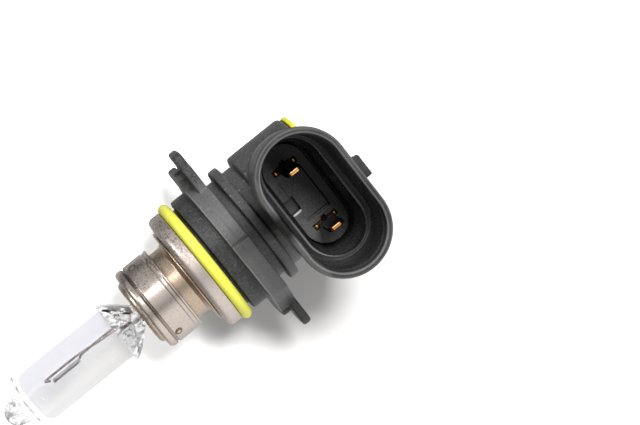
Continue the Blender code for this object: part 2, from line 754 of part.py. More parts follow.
def insert_cutters():
    """Relief cut in the insert's upper face: a sunken middle, an edge strip with a notch, slots."""
    above = INSERT_TOP + 1 * MM
    left = SHROUD_X - INSERT_HALF_X
    strip = 1.35 * MM
    cutters = [
        block("cut_middle", (left + strip, -3.8 * MM, INSERT_TOP - 0.5 * MM),
              (left + strip + 4.4 * MM, 3.9 * MM, above)),
        block("cut_notch", (left - 1 * MM, -1.55 * MM, INSERT_TOP - 1.8 * MM),
              (left + strip + 0.5 * MM, 0.9 * MM, above + 0.2 * MM)),
    ]
    slot_x = SHOULDER_WIDTH / 2 + GAP
    slot_y = BLADE_THICKNESS / 2 + GAP
    for side, label in ((1, "left"), (-1, "right")):
        middle = side * BLADE_PITCH / 2
        cutters.append(block("cut_slot_" + label,
                             (SHROUD_X - slot_x, middle - slot_y, INSERT_BOTTOM - 1 * MM),
                             (SHROUD_X + slot_x, middle + slot_y, above + 0.4 * MM)))
        cutters.append(block("cut_key_" + label,
                             (SHROUD_X - 0.4 * MM, middle, INSERT_TOP - 1.2 * MM),
                             (SHROUD_X + 0.4 * MM, middle + slot_y + 0.45 * MM, above + 0.6 * MM)))
    return cutters


def make_terminal_insert():
    insert = lofted("terminal_insert", [
        stadium(SHROUD_X, INSERT_HALF_X, INSERT_HALF_Y, INSERT_BOTTOM),
        stadium(SHROUD_X, INSERT_HALF_X, INSERT_HALF_Y, INSERT_TOP - 0.15 * MM),
        stadium(SHROUD_X, INSERT_HALF_X - 0.15 * MM, INSERT_HALF_Y - 0.15 * MM, INSERT_TOP),
    ], "black_plastic")
    for cutter in insert_cutters():
        combine(insert, cutter, "DIFFERENCE")


def blade_outline():
    """One blade seen flat, up its right side and down its left: tail, shoulders, blade, tapered tip."""
    half = [
        (TAIL_WIDTH / 2, TAIL_BOTTOM),
        (TAIL_WIDTH / 2, INSERT_BOTTOM + 0.4 * MM),
        (SHOULDER_WIDTH / 2, INSERT_BOTTOM + 0.9 * MM),
        (SHOULDER_WIDTH / 2, SHOULDER_TOP),
        (BLADE_WIDTH / 2, SHOULDER_TOP),
        (BLADE_WIDTH / 2, BLADE_TIP - 1.1 * MM),
        (BLADE_TIP_WIDTH / 2, BLADE_TIP),
    ]
    right = [(SHROUD_X + across, height) for across, height in half]
    left = [(SHROUD_X - across, height) for across, height in reversed(half)]
    return right + left


def make_blades():
    for side, label in ((1, "left"), (-1, "right")):
        flat_solid("terminal_blade_" + label, blade_outline(), BLADE_THICKNESS,
                   (0, side * BLADE_PITCH / 2, 0), (math.pi / 2, 0, 0), "copper_alloy")


def make_crimps():
    """A short ferrule that joins each outer lead to its blade's tail."""
    rear = SHROUD_X - TAIL_WIDTH / 2 - 2 * GAP
    front = rear - 1.7 * MM
    for side, label in ((1, "left"), (-1, "right")):
        crimp = turned("lead_crimp_" + label, [
            (front, 0.65 * MM, 0.1 * MM),
            (rear, 0.65 * MM, 0.1 * MM),
            (rear, LEAD_WIRE + GAP, 0),
            (front, LEAD_WIRE + GAP, 0),
        ], "copper_alloy", steps=12)
        crimp.location = (0, side * BLADE_PITCH / 2, CRIMP_HEIGHT)


# ---------------------------------------------------------------- build

def main():
    make_looks()
    make_glass()
    make_filament()
    make_inner_leads()
    make_foils()
    make_outer_leads()
    make_capsule_holder()
    make_pinch_clips()
    make_focus_collar()
    make_flange_sleeve()
    make_flange_disc()
    make_weld_spots()
    make_o_ring()
    make_base_housing()
    make_rear_plug()
    make_terminal_insert()
    make_blades()
    make_crimps()


clear_scene()
PARTS = new_collection(OBJECT_NAME)
TOOLS = new_collection("cutters")
main()
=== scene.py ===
"""Looks for the headlight bulb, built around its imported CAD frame.

The CAD nodes that show are replaced by finer pieces of the same size, each with its own
procedural material. The bulb's axis is X with the glass tip at -X, and the connector
socket opens towards +Z. The frame is in metres. Sizes and places here are in millimetres,
and become metres where a vertex, a voxel or a relief is made.
"""

import math

import bmesh
import bpy
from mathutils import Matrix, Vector, noise


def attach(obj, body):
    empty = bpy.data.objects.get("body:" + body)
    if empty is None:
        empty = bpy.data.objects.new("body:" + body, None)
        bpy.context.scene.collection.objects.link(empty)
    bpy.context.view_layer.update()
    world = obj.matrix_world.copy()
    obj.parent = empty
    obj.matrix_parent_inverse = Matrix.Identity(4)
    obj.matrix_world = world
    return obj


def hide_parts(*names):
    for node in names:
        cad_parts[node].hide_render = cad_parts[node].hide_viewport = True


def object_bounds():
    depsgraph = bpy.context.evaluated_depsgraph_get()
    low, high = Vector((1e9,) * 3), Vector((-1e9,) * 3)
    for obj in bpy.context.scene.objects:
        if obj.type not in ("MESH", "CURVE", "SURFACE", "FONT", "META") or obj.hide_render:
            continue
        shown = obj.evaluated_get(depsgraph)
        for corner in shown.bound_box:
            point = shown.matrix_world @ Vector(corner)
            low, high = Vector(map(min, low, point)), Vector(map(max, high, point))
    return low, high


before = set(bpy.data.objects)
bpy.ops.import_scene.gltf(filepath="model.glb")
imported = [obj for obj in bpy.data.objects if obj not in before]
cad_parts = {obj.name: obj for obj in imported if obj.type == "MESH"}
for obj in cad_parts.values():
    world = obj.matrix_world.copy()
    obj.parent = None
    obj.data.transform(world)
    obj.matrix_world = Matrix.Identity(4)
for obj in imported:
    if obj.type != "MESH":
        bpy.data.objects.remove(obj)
cad_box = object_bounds()

MM = 0.001  # metres in a millimetre
TURN_STEPS = 144
ARC_STEPS = 6
SMOOTH_ANGLE = 32
BASE_VOXEL = 0.13
INSERT_VOXEL = 0.07

# Sizes shared by several pieces, as in the CAD
TUBE_RADIUS = 5.35
TUBE_WALL = 0.95
TUBE_FRONT = -39.4
NUB_FRONT = -43.4
NUB_REAR = -40.3
WEDGE_FRONT = -21.6
PINCH_HALF = 1.35
PINCH_RADIUS = 5.05
FILAMENT_CENTRE = -31.5
FILAMENT_LENGTH = 5.1
LEAD_SPREAD = 1.9
SHEET = 0.35
HOLDER_FRONT = -17.3
HOLDER_RADIUS = 5.75
COLLAR_FRONT = -16.6
COLLAR_REAR = -10.4
COLLAR_GROOVE = -15.2
COLLAR_RADIUS = 7.26
SLEEVE_RADIUS = 6.22
DISC_RADIUS = 10.47
DISC_FRONT = -7.55
DISC_REAR = -5.1
RING_RADIUS = 11.15
RING_CENTRE = -4.15
BOSS_RADIUS = 10.5
LAYER = 1.55
FLANGE_REAR = 2 * LAYER
NECK_RADIUS = 9.08
RIB_RADIUS = 10.5
BODY_RADIUS = 10.35
BODY_FRONT = 8.4
BODY_REAR = 18.9
PLUG_RADIUS = 9.95
SHROUD_X = 14.1
RIM_HALF_X = 7.3
RIM_HALF_Y = 12.3
RIM_TOP = 24.4
MOUTH_HALF_X = 6.15
MOUTH_HALF_Y = 11.1
LEDGE_HEIGHT = 15.8
INSERT_HALF_X = 3.65
INSERT_HALF_Y = 8.85
INSERT_BOTTOM = 5.0
INSERT_TOP = 8.5
BLADE_PITCH = 10.48
BLADE_THICKNESS = 0.8

# The studio, in metres and degrees
LIGHT_DISTANCE = 0.7
CAMERA_PLACE = (-0.01205146, 0.05758993, 0.31733453)
CAMERA_TURN = (-5.86537, -10.70733, -37.98067)
CAMERA_LENS = 115.748


# ---- mesh tools

def blend(start, end, part):
    return start + (end - start) * part


def corner(work, x, y, z):
    """A new vertex, from a place in millimetres."""
    return work.verts.new((x * MM, y * MM, z * MM))


def skin(work, loops):
    """Quads between rings of vertices that match, and a face over the first and last ring."""
    count = len(loops[0])
    for low, high in zip(loops, loops[1:]):
        for index in range(count):
            after = (index + 1) % count
            work.faces.new((low[index], low[after], high[after], high[index]))
    work.faces.new(loops[0])
    work.faces.new(loops[-1])


def put(name, data):
    item = bpy.data.objects.new(name, data)
    bpy.context.scene.collection.objects.link(item)
    return item


def finish_mesh(mesh):
    mesh.shade_smooth()
    mesh.set_sharp_from_angle(angle=math.radians(SMOOTH_ANGLE))


def from_work(name, work, face_out=True):
    if face_out:
        bmesh.ops.recalc_face_normals(work, faces=work.faces)
    mesh = bpy.data.meshes.new(name)
    work.to_mesh(mesh)
    work.free()
    finish_mesh(mesh)
    return put(name, mesh)


def settle(item):
    """Bake an object's modifiers into its mesh."""
    bpy.context.view_layer.update()
    graph = bpy.context.evaluated_depsgraph_get()
    mesh = bpy.data.meshes.new_from_object(item.evaluated_get(graph))
    item.modifiers.clear()
    item.data = mesh


def combine(item, others, operation):
    """Add or cut other closed meshes, then throw them away."""
    for other in others:
        step = item.modifiers.new(other.name, "BOOLEAN")
        step.operation = operation
        step.object = other
    settle(item)
    for other in others:
        bpy.data.objects.remove(other, do_unlink=True)


def fillet(corners, closed=True, steps=ARC_STEPS):
    """Points of a flat outline from its corners (a, b, radius), with an arc in each round corner."""
    points = []
    count = len(corners)
    for index, (a, b, radius) in enumerate(corners):
        point = Vector((a, b))
        at_end = not closed and index in (0, count - 1)
        if radius == 0 or at_end:
            points.append(point)
            continue
        before = (Vector(corners[index - 1][:2]) - point).normalized()
        after = (Vector(corners[(index + 1) % count][:2]) - point).normalized()
        half = before.angle(after) / 2
        centre = point + (before + after).normalized() * (radius / math.sin(half))
        start = point + before * (radius / math.tan(half)) - centre
        end = point + after * (radius / math.tan(half)) - centre
        for step in range(steps + 1):
            points.append(centre + start.lerp(end, step / steps).normalized() * radius)
    return points


def turned(name, corners, closed=True, steps=TURN_STEPS, wobble=None):
    """Turn an outline of (station, radius, corner radius) about the bulb's axis.

    wobble(station, radius, angle) gives a new (station, radius), for unevenness.
    """
    outline = fillet(corners, closed)
    work = bmesh.new()
    loops = []
    for station, radius in outline:
        if radius < 1e-4:
            loops.append([corner(work, station, 0, 0)])
            continue
        ring = []
        for step in range(steps):
            angle = 2 * math.pi * step / steps
            x, r = (station, radius) if wobble is None else wobble(station, radius, angle)
            ring.append(corner(work, x, r * math.sin(angle), r * math.cos(angle)))
        loops.append(ring)
    pairs = list(zip(loops, loops[1:]))
    if closed:
        pairs.append((loops[-1], loops[0]))
    for low, high in pairs:
        for step in range(steps):
            after = (step + 1) % steps
            if len(low) == 1 and len(high) == 1:
                break
            if len(low) == 1:
                work.faces.new((low[0], high[step], high[after]))
            elif len(high) == 1:
                work.faces.new((low[step], low[after], high[0]))
            else:
                work.faces.new((low[step], low[after], high[after], high[step]))
    return from_work(name, work)


def lofted(name, rings, more_rings=None):
    """A closed solid through rings with the same number of points; more_rings adds a second shell."""
    work = bmesh.new()
    inner_faces = []
    for shell in (rings, more_rings):
        if shell is None:
            continue
        before = len(work.faces)
        skin(work, [[corner(work, *point) for point in ring] for ring in shell])
        if shell is more_rings:
            inner_faces = list(work.faces)[before:]
    bmesh.ops.recalc_face_normals(work, faces=work.faces)
    bmesh.ops.reverse_faces(work, faces=inner_faces)
    return from_work(name, work, face_out=False)


def prism(name, outline, thickness, place, bevel=0.0):
    """A flat outline with a thickness. place(a, b, height) gives each corner's position."""
    work = bmesh.new()
    skin(work, [[corner(work, *place(a, b, height)) for a, b in outline]
                for height in (-thickness / 2, thickness / 2)])
    bmesh.ops.recalc_face_normals(work, faces=work.faces)
    if bevel:
        sharp = [edge for edge in work.edges if edge.calc_face_angle(0) > math.radians(30)]
        bmesh.ops.bevel(work, geom=sharp, offset=bevel * MM, segments=3, profile=0.5, affect="EDGES",
                        clamp_overlap=True)
    return from_work(name, work)


def block(name, low, high):
    outline = [(low[0], low[1]), (high[0], low[1]), (high[0], high[1]), (low[0], high[1])]
    middle = (low[2] + high[2]) / 2
    return prism(name, outline, high[2] - low[2], lambda a, b, height: (a, b, middle + height))


def stadium(centre_x, half_x, half_y, height, steps=40):
    """A level ring with two straight sides along Y and two half-round ends."""
    ring = []
    for side in (1, -1):
        for step in range(steps + 1):
            angle = math.pi * (step / steps) + (0 if side > 0 else math.pi)
            ring.append((centre_x + half_x * math.cos(angle),
                         side * (half_y - half_x) + half_x * math.sin(angle), height))
    return ring


def stadium_solid(name, centre_x, sections):
    return lofted(name, [stadium(centre_x, *section) for section in sections])


def tube(name, points, radius, sides=14):
    """A round wire along the points as a closed mesh."""
    points = [Vector(point) for point in points]
    work = bmesh.new()
    normal = None
    rings = []
    last = len(points) - 1
    for index, point in enumerate(points):
        ahead = (points[min(index + 1, last)] - points[max(index - 1, 0)]).normalized()
        if normal is None:
            normal = ahead.orthogonal().normalized()
        normal = (normal - ahead * normal.dot(ahead)).normalized()
        other = ahead.cross(normal)
        rings.append([corner(work, *(point + (normal * math.cos(turn) + other * math.sin(turn)) * radius))
                      for turn in (2 * math.pi * side / sides for side in range(sides))])
    skin(work, rings)
    return from_work(name, work)


def smooth_route(stops, per_span=10):
    """Points along a smooth curve through the stops."""
    stops = [Vector(stop) for stop in stops]
    padded = [2 * stops[0] - stops[1], *stops, 2 * stops[-1] - stops[-2]]
    points = []
    for a, b, c, d in zip(padded, padded[1:], padded[2:], padded[3:]):
        for step in range(per_span):
            t = step / per_span
            points.append(0.5 * (2 * b + (c - a) * t + (2 * a - 5 * b + 4 * c - d) * t ** 2
                                 + (3 * b - a - 3 * c + d) * t ** 3))
    points.append(stops[-1])
    return points


# ---- materials

class Look:
    """A Principled material whose colour, roughness and relief come from nodes, in millimetres."""

    def __init__(self, name, roughness=0.5, metallic=0.0, **sockets):
        self.material = bpy.data.materials.new(name)
        self.material.use_nodes = True
        self.tree = self.material.node_tree
        self.shader = self.tree.nodes["Principled BSDF"]
        scaled = self.node("ShaderNodeVectorMath", operation="SCALE")
        scaled.inputs["Scale"].default_value = 1 / MM
        self.link(self.node("ShaderNodeTexCoord").outputs["Object"], scaled.inputs[0])
        self.place = scaled.outputs[0]
        split = self.node("ShaderNodeSeparateXYZ")
        self.link(self.place, split.inputs["Vector"])
        self.x, self.y, self.z = (split.outputs[axis] for axis in "XYZ")
        self.set("Roughness", roughness)
        self.set("Metallic", metallic)
        for socket, value in sockets.items():
            self.set(socket.replace("_", " "), value)
        self.relief = None

    def node(self, kind, **settings):
        made = self.tree.nodes.new(kind)
        for key, value in settings.items():
            setattr(made, key, value)
        return made

    def set(self, socket, value):
        self.shader.inputs[socket].default_value = value

    def link(self, start, end):
        self.tree.links.new(start, end)

    def noise(self, size, detail=3.0, stretch=(1, 1, 1), shift=0.0, roughness=0.5):
        """Noise with features about size across, stretched along each axis."""
        spread = self.node("ShaderNodeMapping")
        spread.inputs["Scale"].default_value = [1 / (size * factor) for factor in stretch]
        spread.inputs["Location"].default_value = (shift, shift * 0.7, shift * 1.3)
        self.link(self.place, spread.inputs["Vector"])
        made = self.node("ShaderNodeTexNoise")
        made.inputs["Scale"].default_value = 1.0
        made.inputs["Detail"].default_value = detail
        made.inputs["Roughness"].default_value = roughness
        self.link(spread.outputs["Vector"], made.inputs["Vector"])
        return made.outputs["Fac"]

    def math(self, operation, first, second=0.0):
        made = self.node("ShaderNodeMath", operation=operation)
        for socket, value in zip(made.inputs, (first, second)):
            if isinstance(value, (int, float)):
                socket.default_value = value
            else:
                self.link(value, socket)
        return made.outputs[0]

    def times(self, first, *others):
        for other in others:
            first = self.math("MULTIPLY", first, other)
        return first

    def most(self, first, second):
        return self.math("MAXIMUM", first, second)

    def opposite(self, mask):
        return self.math("SUBTRACT", 1.0, mask)

    def spread(self, value, from_low, from_high, to_low=0.0, to_high=1.0):
        """A straight run from to_low at from_low to to_high at from_high, level outside it."""
        made = self.node("ShaderNodeMapRange", clamp=True)
        for socket, number in (("From Min", from_low), ("From Max", from_high),
                               ("To Min", to_low), ("To Max", to_high)):
            made.inputs[socket].default_value = number
        self.link(value, made.inputs["Value"])
        return made.outputs["Result"]

    def between(self, value, start, full, fade, end, low=0.0, high=1.0):
        """low at start, rising to high at full, and from fade back to nothing at end."""
        return self.times(self.spread(value, start, full, low, high), self.spread(value, fade, end, 1.0, 0.0))

    def near(self, value, centre, core, fade):
        """1 within core of centre, falling to 0 at fade from it."""
        away = self.math("ABSOLUTE", self.math("SUBTRACT", value, centre))
        return self.spread(away, core, fade, 1.0, 0.0)

    def socket_reach(self):
        """Distance out from the spine of the connector's stadium."""
        across = self.math("SUBTRACT", self.x, SHROUD_X)
        past_end = self.math("SUBTRACT", self.math("ABSOLUTE", self.y), MOUTH_HALF_Y - MOUTH_HALF_X)
        along = self.most(past_end, 0.0)
        return self.math("SQRT", self.math("ADD", self.times(across, across), self.times(along, along)))

    def inside_socket(self):
        """1 within the stadium of the connector's mouth, above the insert, and 0 outside it."""
        within = self.spread(self.socket_reach(), MOUTH_HALF_X + 0.15, MOUTH_HALF_X + 0.4, 1.0, 0.0)
        return self.times(within, self.between(self.z, 7.0, 8.0, RIM_TOP - 1.7, RIM_TOP - 0.6))

    def mix(self, share, first, second):
        """Mix two colours. Each is a plain colour or another node's output."""
        made = self.node("ShaderNodeMix", data_type="RGBA")
        for socket, value in ((made.inputs[0], share), (made.inputs[6], first), (made.inputs[7], second)):
            if isinstance(value, tuple):
                socket.default_value = (*value, 1.0)
            else:
                self.link(value, socket)
        return made.outputs[2]

    def colour(self, source):
        self.link(source, self.shader.inputs["Base Color"])

    def roughness(self, source):
        self.link(source, self.shader.inputs["Roughness"])

    def bump(self, height, depth, strength=1.0):
        """Relief of about this depth; several calls stack."""
        made = self.node("ShaderNodeBump")
        made.inputs["Strength"].default_value = strength
        made.inputs["Distance"].default_value = depth * MM
        self.link(height, made.inputs["Height"])
        if self.relief is not None:
            self.link(self.relief, made.inputs["Normal"])
        self.relief = made.outputs["Normal"]
        self.link(self.relief, self.shader.inputs["Normal"])


def black_plastic(name, tone=1.0, gloss=0.4, depth=0.9, even=0.0):
    """Glass-filled nylon: mottled with pale specks, smoother on shroud and flange, with painted light and
    shade, darkest in the socket.

    depth sets the painted shade on the socket's walls and the painted highlight on its ledge. even (0 to 1)
    takes the mottling away and paints a shade on the insert, falling from a lit front edge to a dark rear
    one.
    """
    look = Look(name, roughness=gloss, IOR=1.5)
    look.set("Specular IOR Level", 0.3)
    x, y, z = look.x, look.y, look.z
    grain = look.noise(0.4, 5.0, roughness=0.66)
    cloud = look.noise(3.2, 4.0, stretch=(1.5, 1, 1), shift=3.1)
    fibre = look.noise(0.18, 2.0, stretch=(3, 1, 1), shift=7.7)
    dark = tuple(tone * part for part in (0.010, 0.010, 0.0105))
    pale = tuple(tone * part for part in (0.105, 0.103, 0.103))
    in_socket = look.inside_socket()

    # Where the mottling is weak: the shroud, and the flange above its parting line
    band = look.between(x, -0.15, 0.05, FLANGE_REAR, FLANGE_REAR + 0.15)
    shroud = look.times(look.spread(x, 6.0, 7.0), look.spread(z, 11.5, 12.5))
    calm = look.most(shroud, look.times(band, look.spread(y, 0.8, 1.6, 0.9, 0.45)))
    rough = look.opposite(look.times(look.most(calm, even), 0.85))
    rough = look.times(rough, look.spread(x, -0.4, -0.1, 0.65, 1.0))

    # The tone of each region, with painted highlights and painted fill light on some
    base = look.mix(look.spread(cloud, 0.3, 0.72, 0.1, 0.5), dark, pale)
    # Painted highlight on the flange hub's top, brighter towards +Y and fading towards its edges
    hub = look.times(look.spread(look.math("ABSOLUTE", y), 10.0, 12.6, 0.8, 0.0),
                     look.spread(y, 0.0, 4.0, 0.72, 1.0))
    base = look.mix(look.times(band, hub), base, (0.155, 0.153, 0.153))
    # Painted fill light lifting the rear body below the shroud
    body = look.times(look.spread(x, BODY_FRONT, BODY_FRONT + 0.3, 0.0, 0.35),
                      look.spread(z, 11.0, 12.5, 1.0, 0.0))
    base = look.mix(body, base, pale)
    # Painted fill light lifting the neck, which the shroud shades
    base = look.mix(look.between(x, 3.1, 3.3, 8.3, 8.6, high=0.6), base, pale)

    # Mottling, worn edges with painted edge highlights, and painted shade in creases
    base = look.mix(look.times(rough, look.spread(grain, 0.45, 0.68, 0.0, 0.6)), base, pale)
    base = look.mix(look.times(rough, look.spread(grain, 0.34, 0.46, 0.6, 0.0)), base, dark)
    base = look.mix(look.times(rough, look.spread(fibre, 0.63, 0.74, 0.0, 0.6)), base, (0.34, 0.34, 0.34))
    edge = look.node("ShaderNodeNewGeometry").outputs["Pointiness"]
    # Pale convex edges: wear, and a painted highlight where edges catch the light
    wear_and_highlight = look.times(look.spread(edge, 0.535, 0.585, 0.0, 0.65),
                      look.opposite(look.most(look.between(x, 0.2, 0.4, 2.7, 2.95), shroud)))
    # Pale line along the flange's front edge: wear, and a painted highlight
    front_highlight_and_wear = look.times(look.near(x, 0.05, 0.12, 0.25), look.spread(edge, 0.505, 0.53, 0.0, 0.7))
    base = look.mix(look.most(wear_and_highlight, front_highlight_and_wear), base, (0.26, 0.26, 0.265))
    reach = look.socket_reach()
    # Painted highlights along the inner and outer edges of the socket's rim
    lip_highlight = look.math("ADD", look.near(reach, MOUTH_HALF_X + 0.36, 0.03, 0.2),
                    look.times(look.near(reach, RIM_HALF_X - 0.15, 0.03, 0.2), 0.6))
    lip_highlight = look.times(lip_highlight, look.spread(z, RIM_TOP - 0.6, RIM_TOP - 0.3, 0.0, 0.5))
    base = look.mix(lip_highlight, base, (0.24, 0.24, 0.245))
    # Painted shade in concave creases
    base = look.mix(look.spread(edge, 0.42, 0.485, 0.9, 0.0), base, (0.002, 0.002, 0.002))

    # Painted shade in the depths that light hardly reaches, painted shadows, and a painted highlight on the
    # socket's ledge
    # Painted shade on the socket's walls, lighter towards -Y
    well = look.times(in_socket, depth, look.spread(y, -8.5, -5.0, 0.3, 1.0))
    base = look.mix(well, base, (0.012, 0.0125, 0.0135))
    # Painted shadow of the shroud in the neck's groove beside it
    shroud_shadow = look.times(look.between(x, 3.4, 6.5, 8.3, 8.7, low=0.3, high=0.95), look.near(y, 0.9, 1.3, 3.4))
    base = look.mix(shroud_shadow, base, (0.003, 0.003, 0.003))
    # Painted shadow of the socket's wall across the insert, lit at its front edge and dark at its rear
    slant = look.math("ADD", x, look.times(y, 0.35))
    lit = look.times(look.spread(slant, SHROUD_X - 4.0, SHROUD_X - 1.0, 0.95, 0.45),
                     look.spread(slant, SHROUD_X - 1.0, SHROUD_X + 1.3, 1.0, 0.0))
    base = look.mix(look.times(look.opposite(lit), even), base, (0.001, 0.001, 0.001))
    # Painted highlight along the socket's ledges, stronger towards -Y
    ledge = look.most(look.near(reach, 4.85, 0.05, 0.22), look.near(reach, MOUTH_HALF_X - 0.3, 0.04, 0.18))
    ledge = look.times(ledge, look.near(z, LEDGE_HEIGHT, 0.25, 0.4),
                       look.spread(y, -6.0, 0.0, depth * 0.75, depth * 0.3))
    base = look.mix(ledge, base, (0.3, 0.3, 0.3))
    look.colour(base)

    matt = look.spread(grain, 0.3, 0.7, gloss - 0.08, gloss + 0.16)
    look.roughness(look.math("SUBTRACT", matt, look.times(in_socket, 0.16)))
    look.bump(cloud, 0.05, 0.5)
    look.bump(look.times(grain, rough, look.opposite(in_socket)), 0.07)
    return look.material


def plated_steel(name, base, stain, rough, blotch=1.0):
    """Nickel-plated sheet: brushed round the axis, with heat stain, duller, darker blotches, dark specks on
    its upper side and painted shade in its groove.
    """
    look = Look(name, roughness=rough, metallic=1.0)
    cloud = look.noise(2.6, 4.0, shift=1.7)
    spots = look.noise(0.26, 4.0, stretch=(1, 1.5, 1.5), shift=4.2, roughness=0.7)
    lines = look.noise(0.09, 3.0, stretch=(1, 30, 30), shift=2.9)
    specks = look.noise(0.32, 4.0, stretch=(1, 1.3, 1.3), shift=9.4, roughness=0.75)
    colour = look.mix(look.spread(cloud, 0.35, 0.68, 0.0, 0.8), base, stain)
    colour = look.mix(look.spread(spots, 0.52, 0.8, 0.0, 0.35 * blotch), colour,
                      tuple(part * 0.55 for part in base))
    # Dark specks, only on the upper side
    upper_dark_specks = look.times(look.spread(specks, 0.51, 0.6, 0.0, 0.8), look.spread(look.y, 1.0, 6.0))
    colour = look.mix(upper_dark_specks, colour, (0.15, 0.14, 0.125))
    # Painted shade in the collar's groove, darker towards +Y
    groove = look.times(look.near(look.x, COLLAR_GROOVE, 0.1, 0.25),
                        look.spread(look.y, -4.0, 2.0, 0.35, 0.85))
    look.colour(look.mix(groove, colour, (0.07, 0.065, 0.055)))
    look.roughness(look.spread(spots, 0.35, 0.7, rough - 0.07, rough + 0.12))
    look.bump(spots, 0.03, 0.22 * blotch)
    look.bump(lines, 0.02, 0.4)
    return look.material


def bare_metal(name, base, dark, rough, size=0.2, painted_dark_band=None):
    """Plain metal. A band given as (low, high, colour) is painted dark between two heights, as a painted
    reflection of dark surroundings.
    """
    look = Look(name, roughness=rough, metallic=1.0)
    cloud = look.noise(size * 3, 3.0, shift=2.2)
    fine = look.noise(size * 0.3, 3.0, shift=5.9)
    colour = look.mix(look.spread(cloud, 0.35, 0.7), base, dark)
    if painted_dark_band:
        low, high, dark_reflection = painted_dark_band
        colour = look.mix(look.between(look.z, low, low + 0.3, high, high + 0.4), colour, dark_reflection)
    look.colour(colour)
    look.roughness(look.spread(fine, 0.35, 0.7, rough - 0.06, rough + 0.14))
    look.bump(fine, 0.01, 0.4)
    return look.material


def silicone(name, base, dark, rough=0.42):
    """Soft, slightly see-through rubber. The pale highlight painted on the insert's ridge shares it."""
    look = Look(name, roughness=rough, Subsurface_Weight=0.12, Subsurface_Scale=0.0012)
    look.set("Subsurface Radius", (1.0, 0.75, 0.15))
    cloud = look.noise(2.2, 3.0, shift=6.1)
    fine = look.noise(0.2, 3.0, shift=1.1)
    look.colour(look.mix(look.spread(cloud, 0.35, 0.75, 0.0, 0.6), base, dark))
    look.roughness(look.spread(fine, 0.3, 0.7, rough - 0.05, rough + 0.12))
    look.bump(fine, 0.02, 0.3)
    return look.material


def quartz(name):
    """Clear quartz that bends light, for the solid ends of the capsule, with painted dark refractions, more
    of them at the nub.
    """
    look = Look(name, roughness=0.0, IOR=1.458)
    look.set("Transmission Weight", 1.0)
    cloud = look.noise(1.2, 3.0, shift=8.3)
    dark_refraction = look.noise(0.75, 2.0, stretch=(2.2, 1, 0.6), shift=3.9)
    dark_refraction = look.math("ADD", dark_refraction, look.spread(look.x, -41.0, -40.0, 0.1, 0.0))
    base = look.mix(look.spread(cloud, 0.3, 0.7), (0.93, 0.935, 0.94), (0.84, 0.845, 0.86))
    look.colour(look.mix(look.spread(dark_refraction, 0.565, 0.6, 0.0, 0.85), base, (0.16, 0.165, 0.17)))
    return look.material


def thin_quartz(name):
    """The capsule's thin wall, with a painted bluish reflection on its upper side, painted streaks of
    reflection, and painted shade towards its edges, along its lower side and where it bends in to the nub.
    """
    look = Look(name, roughness=0.02, IOR=1.0, Coat_Weight=0.35, Coat_Roughness=0.03, Coat_IOR=1.45)
    look.set("Transmission Weight", 1.0)
    cloud = look.noise(3.2, 2.0, stretch=(3, 1, 1), shift=8.3)
    streak_reflection = look.noise(0.8, 2.0, stretch=(0.15, 1, 1), shift=5.1)
    # Painted bluish reflection on the upper side
    side = look.math("ADD", look.y, look.spread(cloud, 0.2, 0.8, -1.5, 1.5))
    base = look.mix(look.spread(side, -1.5, 2.0), (0.738, 0.737, 0.736), (0.725, 0.725, 0.755))
    # Painted streaks of reflection
    base = look.mix(look.spread(streak_reflection, 0.5, 0.75, 0.0, 0.5), base, (0.7, 0.703, 0.71))
    # Painted shade towards the tube's edges
    rim = look.node("ShaderNodeLayerWeight").outputs["Facing"]
    base = look.mix(look.spread(rim, 0.75, 1.0, 0.0, 0.6), base, (0.6, 0.61, 0.62))
    # Painted grey line of shade along the tube's lower side
    base = look.mix(look.times(look.near(look.y, -4.3, 0.3, 0.9), 0.55), base, (0.6, 0.603, 0.61))

    # Painted dark refraction: a broken line where the tube bends in towards the nub
    end = look.spread(look.y, 2.0, 4.4, -39.22, -38.7)
    broken = look.spread(look.noise(1.3, 1.0, shift=2.6), 0.52, 0.6, 0.0, 0.9)
    line = look.times(look.near(look.x, end, 0.1, 0.22), broken, look.spread(look.z, 0.0, 0.3))
    look.colour(look.mix(line, base, (0.03, 0.03, 0.03)))
    return look.material


def floor_paper(name):
    look = Look(name, roughness=0.85)
    cloud = look.noise(60, 2.0)
    look.colour(look.mix(look.spread(cloud, 0.3, 0.7), (0.53, 0.525, 0.52), (0.515, 0.51, 0.505)))
    return look.material


def dress(item, material, slot, *nodes):
    """Give a piece its material, let it stand for CAD nodes, and seat it on the body."""
    item.data.materials.clear()
    item.data.materials.append(material)
    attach(item, "root")
    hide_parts(*nodes)


# ---- glass capsule

def pinched_ring(station, radius, half_thickness, count=128):
    """A circle cut off flat at both sides, with softened shoulders."""
    ring = []
    for index in range(count):
        angle = 2 * math.pi * (index + 0.5) / count
        across = radius * math.cos(angle)
        soft = across / (1 + abs(across / half_thickness) ** 10) ** 0.1
        ring.append((station, soft, radius * math.sin(angle)))
    return ring


def shoulder(front, radius, corner_radius, steps=8):
    """The quarter-round between the tube's closed front and its wall: (station, radius) pairs."""
    points = []
    for step in range(steps + 1):
        bend = math.radians(90 - 90 * step / steps)
        points.append((front + corner_radius * (1 - math.sin(bend)),
                       radius - corner_radius * (1 - math.cos(bend))))
    return points


